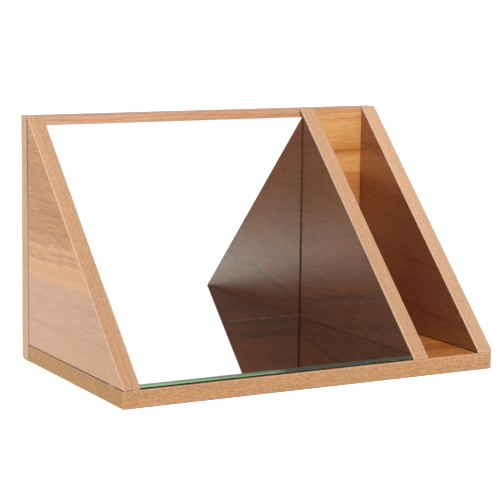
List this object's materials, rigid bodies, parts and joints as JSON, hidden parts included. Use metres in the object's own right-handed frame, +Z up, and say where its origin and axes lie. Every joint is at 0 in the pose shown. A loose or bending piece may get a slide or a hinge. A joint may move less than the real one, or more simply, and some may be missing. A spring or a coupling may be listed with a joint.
{
  "type": "table mirror",
  "caption": "Open-fronted wooden table stand with sloping uprights, a standing and a lying glass mirror in the wide bay, and a narrow plain compartment beside them.",
  "frame": {"origin": "middle of the underside, on the plane that the stand rests on", "axes": "+X along the stand's width towards the narrow compartment, -Y towards the open front, +Z up"},
  "size_m": [0.384, 0.232, 0.234],
  "materials": {
    "laminate": "satin wood-grain laminate on board",
    "edge_band": "fine-grained wood-print band",
    "mirror_glass": "polished clear glass, green at the cut edge",
    "silvering": "silvered back of a glass mirror",
    "hardboard": "smooth brown hardboard",
    "foam_tape": "dark foam tape",
    "screw_steel": "zinc-plated",
    "cap_plastic": "matt",
    "dowel_wood": "plain beech"
  },
  "bodies": {
    "root": {"base_board": "laminate", "back_board": "laminate", "left_side_board": "laminate", "divider_board": "laminate", "right_side_board": "laminate", "base_front_band": "edge_band", "base_left_band": "edge_band", "base_right_band": "edge_band", "left_side_band": "edge_band", "divider_band": "edge_band", "right_side_band": "edge_band", "back_top_band": "edge_band", "back_left_band": "edge_band", "back_right_band": "edge_band", "floor_mirror_glass": "mirror_glass", "back_mirror_glass": "mirror_glass", "floor_mirror_silvering": "silvering", "back_mirror_silvering": "silvering", "back_mirror_backing": "hardboard", "floor_mirror_tape": "foam_tape", "back_mirror_tape": "foam_tape", "base_screws": "screw_steel", "rear_screws": "screw_steel", "rear_screw_caps": "cap_plastic", "base_dowels": "dowel_wood", "rear_dowels": "dowel_wood"}
  },
  "joints": []
}
